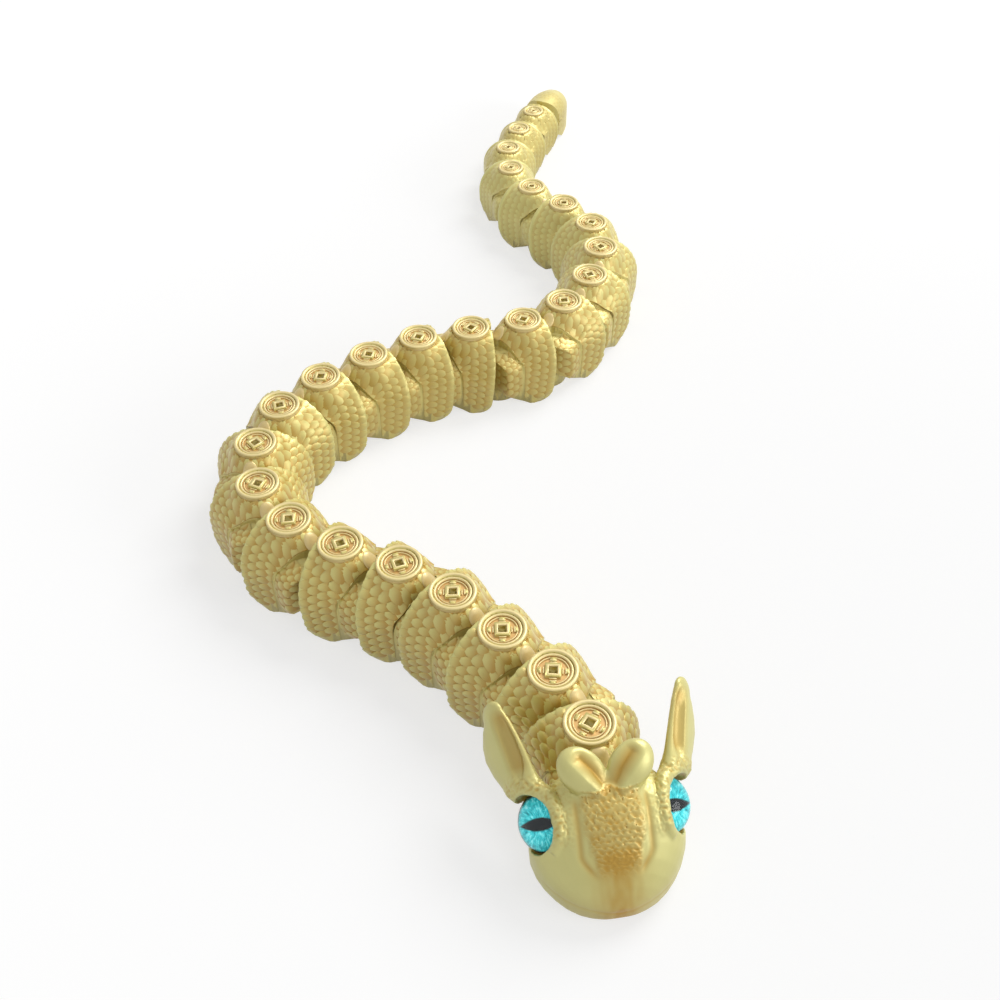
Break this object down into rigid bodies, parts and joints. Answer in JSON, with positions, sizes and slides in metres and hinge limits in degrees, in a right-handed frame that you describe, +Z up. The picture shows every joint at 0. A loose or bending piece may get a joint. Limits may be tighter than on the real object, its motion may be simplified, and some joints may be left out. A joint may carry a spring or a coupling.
{
  "type": "articulated snake toy",
  "caption": "Jointed desk snake with an eared head and round-topped links that swing on upright pins, lying in an S-curve.",
  "frame": {"origin": "on the table, straight under the first hinge pin behind the head; z = 0 is the flat underside", "axes": "+Z up, the head looks along -Y and the body leaves it towards +Y; +X is on the left hand of the snake"},
  "size_m": [0.0941, 0.231, 0.0209],
  "materials": {
    "gold_plastic": "silky pale gold with fine layer lines",
    "glass": "clear polished dome",
    "printed_disc": "printed turquoise iris with a dark slit pupil"
  },
  "bodies": {
    "head": {"head": "gold_plastic", "eye_left": "glass", "eye_right": "glass", "iris_left": "printed_disc", "iris_right": "printed_disc"},
    "segment_01": {"segment_01": "gold_plastic"},
    "segment_02": {"segment_02": "gold_plastic"},
    "segment_03": {"segment_03": "gold_plastic"},
    "segment_04": {"segment_04": "gold_plastic"},
    "segment_05": {"segment_05": "gold_plastic"},
    "segment_06": {"segment_06": "gold_plastic"},
    "segment_07": {"segment_07": "gold_plastic"},
    "segment_08": {"segment_08": "gold_plastic"},
    "segment_09": {"segment_09": "gold_plastic"},
    "segment_10": {"segment_10": "gold_plastic"},
    "segment_11": {"segment_11": "gold_plastic"},
    "segment_12": {"segment_12": "gold_plastic"},
    "segment_13": {"segment_13": "gold_plastic"},
    "segment_14": {"segment_14": "gold_plastic"},
    "segment_15": {"segment_15": "gold_plastic"},
    "segment_16": {"segment_16": "gold_plastic"},
    "segment_17": {"segment_17": "gold_plastic"},
    "segment_18": {"segment_18": "gold_plastic"},
    "segment_19": {"segment_19": "gold_plastic"},
    "segment_20": {"segment_20": "gold_plastic"},
    "segment_21": {"segment_21": "gold_plastic"},
    "segment_22": {"segment_22": "gold_plastic"},
    "segment_23": {"segment_23": "gold_plastic"},
    "segment_24": {"segment_24": "gold_plastic"},
    "segment_25": {"segment_25": "gold_plastic"},
    "tail_tip": {"tail_tip": "gold_plastic"}
  },
  "joints": [
    {"name": "hinge_01", "type": "hinge", "parent": "head", "child": "segment_01", "pos_m": [0, 0, 0.006], "axis": [0, 0, 1], "range_deg": [-30, 20]},
    {"name": "hinge_02", "type": "hinge", "parent": "segment_01", "child": "segment_02", "pos_m": [-0.00096, 0.01096, 0.006], "axis": [0, 0, 1], "range_deg": [-58, 2]},
    {"name": "hinge_03", "type": "hinge", "parent": "segment_02", "child": "segment_03", "pos_m": [-0.00695, 0.02018, 0.006], "axis": [0, 0, 1], "range_deg": [-34, 26]},
    {"name": "hinge_04", "type": "hinge", "parent": "segment_03", "child": "segment_04", "pos_m": [-0.01357, 0.02897, 0.006], "axis": [0, 0, 1], "range_deg": [-30, 30]},
    {"name": "hinge_05", "type": "hinge", "parent": "segment_04", "child": "segment_05", "pos_m": [-0.02019, 0.03775, 0.006], "axis": [0, 0, 1], "range_deg": [-49, 11]},
    {"name": "hinge_06", "type": "hinge", "parent": "segment_05", "child": "segment_06", "pos_m": [-0.02931, 0.0439, 0.006], "axis": [0, 0, 1], "range_deg": [-32, 28]},
    {"name": "hinge_07", "type": "hinge", "parent": "segment_06", "child": "segment_07", "pos_m": [-0.03864, 0.04973, 0.006], "axis": [0, 0, -1], "range_deg": [-47, 13]},
    {"name": "hinge_08", "type": "hinge", "parent": "segment_07", "child": "segment_08", "pos_m": [-0.04585, 0.05804, 0.006], "axis": [0, 0, -1], "range_deg": [-56, 4]},
    {"name": "hinge_09", "type": "hinge", "parent": "segment_08", "child": "segment_09", "pos_m": [-0.0487, 0.06866, 0.006], "axis": [0, 0, -1], "range_deg": [-58, 2]},
    {"name": "hinge_10", "type": "hinge", "parent": "segment_09", "child": "segment_10", "pos_m": [-0.04623, 0.07938, 0.006], "axis": [0, 0, -1], "range_deg": [-55, 5]},
    {"name": "hinge_11", "type": "hinge", "parent": "segment_10", "child": "segment_11", "pos_m": [-0.03945, 0.08805, 0.006], "axis": [0, 0, -1], "range_deg": [-50, 10]},
    {"name": "hinge_12", "type": "hinge", "parent": "segment_11", "child": "segment_12", "pos_m": [-0.03013, 0.09388, 0.006], "axis": [0, 0, -1], "range_deg": [-36, 24]},
    {"name": "hinge_13", "type": "hinge", "parent": "segment_12", "child": "segment_13", "pos_m": [-0.02024, 0.0987, 0.006], "axis": [0, 0, -1], "range_deg": [-39, 21]},
    {"name": "hinge_14", "type": "hinge", "parent": "segment_13", "child": "segment_14", "pos_m": [-0.00972, 0.10191, 0.006], "axis": [0, 0, -1], "range_deg": [-49, 11]},
    {"name": "hinge_15", "type": "hinge", "parent": "segment_14", "child": "segment_15", "pos_m": [0.00127, 0.10153, 0.006], "axis": [0, 0, 1], "range_deg": [-46, 14]},
    {"name": "hinge_16", "type": "hinge", "parent": "segment_15", "child": "segment_16", "pos_m": [0.01195, 0.10419, 0.006], "axis": [0, 0, 1], "range_deg": [-58, 2]},
    {"name": "hinge_17", "type": "hinge", "parent": "segment_16", "child": "segment_17", "pos_m": [0.02012, 0.11155, 0.006], "axis": [0, 0, 1], "range_deg": [-44, 16]},
    {"name": "hinge_18", "type": "hinge", "parent": "segment_17", "child": "segment_18", "pos_m": [0.02627, 0.12067, 0.006], "axis": [0, 0, 1], "range_deg": [-49, 11]},
    {"name": "hinge_19", "type": "hinge", "parent": "segment_18", "child": "segment_19", "pos_m": [0.02912, 0.1313, 0.006], "axis": [0, 0, 1], "range_deg": [-57, 3]},
    {"name": "hinge_20", "type": "hinge", "parent": "segment_19", "child": "segment_20", "pos_m": [0.02683, 0.14206, 0.006], "axis": [0, 0, 1], "range_deg": [-53, 7]},
    {"name": "hinge_21", "type": "hinge", "parent": "segment_20", "child": "segment_21", "pos_m": [0.02052, 0.15107, 0.006], "axis": [0, 0, -1], "range_deg": [-36, 24]},
    {"name": "hinge_22", "type": "hinge", "parent": "segment_21", "child": "segment_22", "pos_m": [0.01519, 0.16069, 0.006], "axis": [0, 0, -1], "range_deg": [-53, 7]},
    {"name": "hinge_23", "type": "hinge", "parent": "segment_22", "child": "segment_23", "pos_m": [0.01404, 0.17163, 0.006], "axis": [0, 0, -1], "range_deg": [-54, 6]},
    {"name": "hinge_24", "type": "hinge", "parent": "segment_23", "child": "segment_24", "pos_m": [0.01744, 0.18209, 0.006], "axis": [0, 0, -1], "range_deg": [-41, 19]},
    {"name": "hinge_25", "type": "hinge", "parent": "segment_24", "child": "segment_25", "pos_m": [0.02277, 0.19171, 0.006], "axis": [0, 0, -1], "range_deg": [-32, 28]},
    {"name": "hinge_26", "type": "hinge", "parent": "segment_25", "child": "tail_tip", "pos_m": [0.02844, 0.20114, 0.006], "axis": [0, 0, 1], "range_deg": [-31, 29]}
  ]
}
